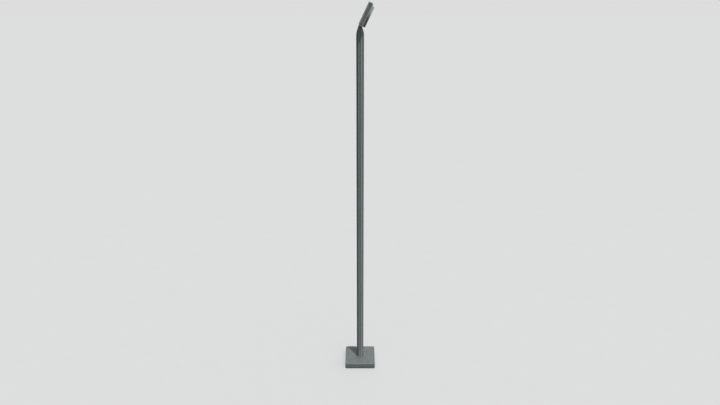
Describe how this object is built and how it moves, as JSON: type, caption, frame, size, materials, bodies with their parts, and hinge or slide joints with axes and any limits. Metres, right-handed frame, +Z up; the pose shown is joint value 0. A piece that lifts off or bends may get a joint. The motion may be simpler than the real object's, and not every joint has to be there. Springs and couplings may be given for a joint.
{
  "type": "street lamp post",
  "caption": "Tall octagonal lamp post on a square covered base, with a service door, a tilting flat LED head and a hinged lamp module.",
  "frame": {"origin": "on the ground, at the middle of the square base", "axes": "+Z up along the pole; the service door is on +Y; the head leans towards +X and its lamp face looks towards +X"},
  "size_m": [0.52, 0.52, 6.0522],
  "materials": {
    "post_paint": "cool grey-green paint, slightly mottled, worn lighter along the edges",
    "head_paint": "the same cool grey paint over the aluminium housing, worn at the edges",
    "module_gloss": "dark gloss enamel with dust towards the tip",
    "galvanised_steel": "hot-dip galvanised, dull spangle",
    "fastener_steel": "stainless, turned",
    "lock_brass": "dulled brass",
    "brass": "machined brass",
    "black_rubber": "moulded rubber",
    "cable_sheath": "smooth sheath",
    "board_plastic": "pressed laminate board",
    "grey_plastic": "moulded, fine grain",
    "white_plastic": "moulded",
    "black_plastic": "moulded nylon",
    "bush_plastic": "self-lubricating bush material",
    "ceramic_white": "fuse body",
    "driver_case": "drawn case, satin",
    "board_white": "white solder mask",
    "led_phosphor": "yellow phosphor, unlit",
    "clear_optic": "clear moulded optics",
    "cover_glass": "toughened flat glass"
  },
  "bodies": {
    "post": {"base_plate": "galvanised_steel", "base_gussets": "galvanised_steel", "base_cover": "post_paint", "cover_brackets": "galvanised_steel", "cover_screws": "fastener_steel", "cover_collar": "black_rubber", "pole_shaft": "post_paint", "spigot_screws": "fastener_steel", "door_frame": "galvanised_steel", "door_hinge_leaves": "post_paint", "door_hinge_pins": "fastener_steel", "equipment_board": "board_plastic", "board_brackets": "galvanised_steel", "cutout_base": "grey_plastic", "cutout_cover": "grey_plastic", "breaker_body": "white_plastic", "earth_bar": "brass", "earth_bar_screws": "brass", "cutout_glands": "black_plastic", "riser_cable": "cable_sheath", "riser_gland": "black_plastic", "riser_connector": "black_plastic", "pole_top_casting": "post_paint", "pivot_bushes": "bush_plastic"},
    "service_door": {"service_door": "post_paint", "door_gasket": "black_rubber", "lock_body": "lock_brass"},
    "door_lock": {"lock_spindle": "lock_brass", "lock_cam": "galvanised_steel", "cam_nut": "fastener_steel"},
    "fuse_carrier": {"fuse_carrier": "black_plastic", "fuse_link": "ceramic_white"},
    "breaker_lever": {"breaker_lever": "black_plastic"},
    "head": {"head_housing": "head_paint", "end_plate_front": "head_paint", "end_plate_back": "head_paint", "end_plate_screws": "fastener_steel", "access_plugs": "black_rubber", "pivot_bolt": "fastener_steel", "pivot_washers": "fastener_steel", "pivot_nut": "fastener_steel", "led_driver": "driver_case", "surge_protector": "white_plastic", "terminal_block": "grey_plastic", "head_gland": "black_plastic", "vent_plug": "black_plastic", "module_gasket": "black_rubber", "head_hinge_leaves": "head_paint", "module_hinge_pins": "fastener_steel"},
    "lamp_module": {"module_frame": "module_gloss", "led_board": "board_white", "led_chips": "led_phosphor", "lens_plate": "clear_optic", "lens_spacers": "white_plastic", "glass_gasket": "black_rubber", "cover_glass": "cover_glass", "glass_bezel": "module_gloss", "bezel_screws": "fastener_steel", "module_screws": "fastener_steel"}
  },
  "joints": [
    {"name": "head_tilt", "type": "hinge", "parent": "post", "child": "head", "pos_m": [0.014, 0, 5.752], "axis": [0, 1, 0], "range_deg": [-26.4, 63.6]},
    {"name": "module_swing", "type": "hinge", "parent": "head", "child": "lamp_module", "pos_m": [0.17653, 0, 5.9962], "axis": [0, -1, 0], "range_deg": [0, 90]},
    {"name": "door_swing", "type": "hinge", "parent": "post", "child": "service_door", "pos_m": [-0.04507, 0.04318, 0.82], "axis": [0, 0, 1], "range_deg": [0, 120]},
    {"name": "lock_turn", "type": "hinge", "parent": "service_door", "child": "door_lock", "pos_m": [0.008, 0.04, 0.962], "axis": [0, 1, 0], "range_deg": [0, 90]},
    {"name": "fuse_pull", "type": "slide", "parent": "post", "child": "fuse_carrier", "axis": [0, 1, 0], "range_m": [0, 0.018]},
    {"name": "breaker_throw", "type": "hinge", "parent": "post", "child": "breaker_lever", "pos_m": [0.016, 0.019, 0.77], "axis": [1, 0, 0], "range_deg": [-70, 0]}
  ]
}
